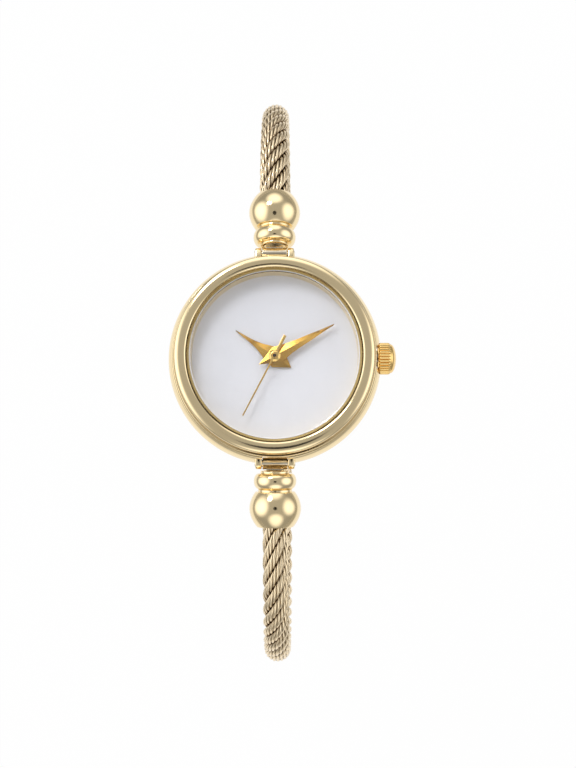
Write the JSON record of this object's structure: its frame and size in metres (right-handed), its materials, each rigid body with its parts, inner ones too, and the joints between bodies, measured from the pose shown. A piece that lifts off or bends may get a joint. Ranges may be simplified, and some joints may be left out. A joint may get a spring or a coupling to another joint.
{
  "type": "bangle watch",
  "caption": "Small round quartz wristwatch on a stiff twisted-cable bangle, hinged to the case at 12 o'clock and hooked on a bar at 6 o'clock.",
  "frame": {"origin": "centre of the case back's flat outer face", "axes": "+X towards the crown at 3 o'clock, +Y from the case back towards the wrist and the far side of the bangle, +Z towards 12 o'clock; the dial faces -Y"},
  "size_m": [0.0268, 0.0498, 0.069],
  "materials": {
    "polished_gold": "polished",
    "cable_gold": "polished",
    "crown_gold": "polished",
    "hand_gold": "polished",
    "crystal_glass": "polished",
    "clear_nylon": "gloss",
    "dial_white": "satin",
    "steel": "polished",
    "cell_steel": "polished",
    "black_rubber": "matte",
    "ring_plastic": "matte",
    "movement_brass": "satin",
    "coil_copper": "satin",
    "board_green": "matte",
    "chip_black": "matte"
  },
  "bodies": {
    "head": {"case_middle": "polished_gold", "bezel": "polished_gold", "crystal": "crystal_glass", "crystal_gasket": "clear_nylon", "dial": "dial_white", "case_back": "steel", "case_back_gasket": "black_rubber", "movement_ring": "ring_plastic", "main_plate": "movement_brass", "train_bridge": "movement_brass", "movement_screws": "steel", "battery": "cell_steel", "battery_clamp": "steel", "coil": "coil_copper", "stator": "steel", "circuit_board": "board_green", "quartz_can": "cell_steel", "ic_chip": "chip_black", "crown_tube": "steel", "hinge_pin": "steel", "clasp_bar": "steel"},
    "bangle": {"upper_knuckle": "steel", "upper_link": "polished_gold", "upper_ferrule": "polished_gold", "bangle_cable": "cable_gold", "lower_ferrule": "polished_gold", "lower_link": "polished_gold", "lower_hook": "steel"},
    "stem_slide": {"setting_lever": "steel"},
    "crown_set": {"crown": "crown_gold", "winding_stem": "steel", "crown_gasket": "black_rubber"},
    "seconds_set": {"fourth_wheel": "movement_brass", "seconds_hand": "hand_gold"},
    "minute_set": {"cannon_pinion": "movement_brass", "minute_hand": "hand_gold"},
    "hour_set": {"hour_wheel": "movement_brass", "hour_hand": "hand_gold"},
    "minute_wheel_set": {"minute_wheel": "movement_brass"},
    "third_set": {"third_wheel": "movement_brass"},
    "centre_set": {"centre_wheel": "movement_brass"},
    "fifth_set": {"fifth_wheel": "movement_brass"},
    "rotor_set": {"rotor": "steel"}
  },
  "joints": [
    {"name": "bangle_swing", "type": "hinge", "parent": "head", "child": "bangle", "pos_m": [0, -0.0038, 0.0125], "axis": [1, 0, 0], "range_deg": [0, 55]},
    {"name": "crown_pull", "type": "slide", "parent": "head", "child": "stem_slide", "axis": [1, 0, 0], "range_m": [0, 0.0006]},
    {"name": "crown_turn", "type": "hinge", "parent": "stem_slide", "child": "crown_set", "pos_m": [0.0132, -0.003, 0], "axis": [1, 0, 0], "continuous": true},
    {"name": "seconds_turn", "type": "hinge", "parent": "head", "child": "seconds_set", "pos_m": [0, -0.0053, 0], "axis": [0, 1, 0], "continuous": true},
    {"name": "minute_turn", "type": "hinge", "parent": "head", "child": "minute_set", "pos_m": [0, -0.005, 0], "axis": [0, 1, 0], "continuous": true},
    {"name": "hour_turn", "type": "hinge", "parent": "head", "child": "hour_set", "pos_m": [0, -0.0046, 0], "axis": [0, 1, 0], "continuous": true},
    {"name": "minute_wheel_turn", "type": "hinge", "parent": "head", "child": "minute_wheel_set", "pos_m": [-0.00054, -0.0034, 0.00307], "axis": [0, 1, 0], "continuous": true},
    {"name": "third_turn", "type": "hinge", "parent": "head", "child": "third_set", "pos_m": [-0.00246, -0.0019, 0.00066], "axis": [0, 1, 0], "continuous": true},
    {"name": "centre_turn", "type": "hinge", "parent": "head", "child": "centre_set", "pos_m": [0, -0.0021, 0], "axis": [0, 1, 0], "continuous": true},
    {"name": "fifth_turn", "type": "hinge", "parent": "head", "child": "fifth_set", "pos_m": [0.00065, -0.0015, 0.00243], "axis": [0, 1, 0], "continuous": true},
    {"name": "rotor_turn", "type": "hinge", "parent": "head", "child": "rotor_set", "pos_m": [0.0022, -0.002, 0.00428], "axis": [0, 1, 0], "continuous": true}
  ],
  "couplings": [
    {"joint": "fifth_turn", "follows": "seconds_turn", "ratio": -5},
    {"joint": "rotor_turn", "follows": "seconds_turn", "ratio": 30},
    {"joint": "third_turn", "follows": "seconds_turn", "ratio": -0.13333},
    {"joint": "centre_turn", "follows": "seconds_turn", "ratio": 0.016667},
    {"joint": "minute_wheel_turn", "follows": "minute_turn", "ratio": -0.33333},
    {"joint": "hour_turn", "follows": "minute_turn", "ratio": 0.083333}
  ]
}
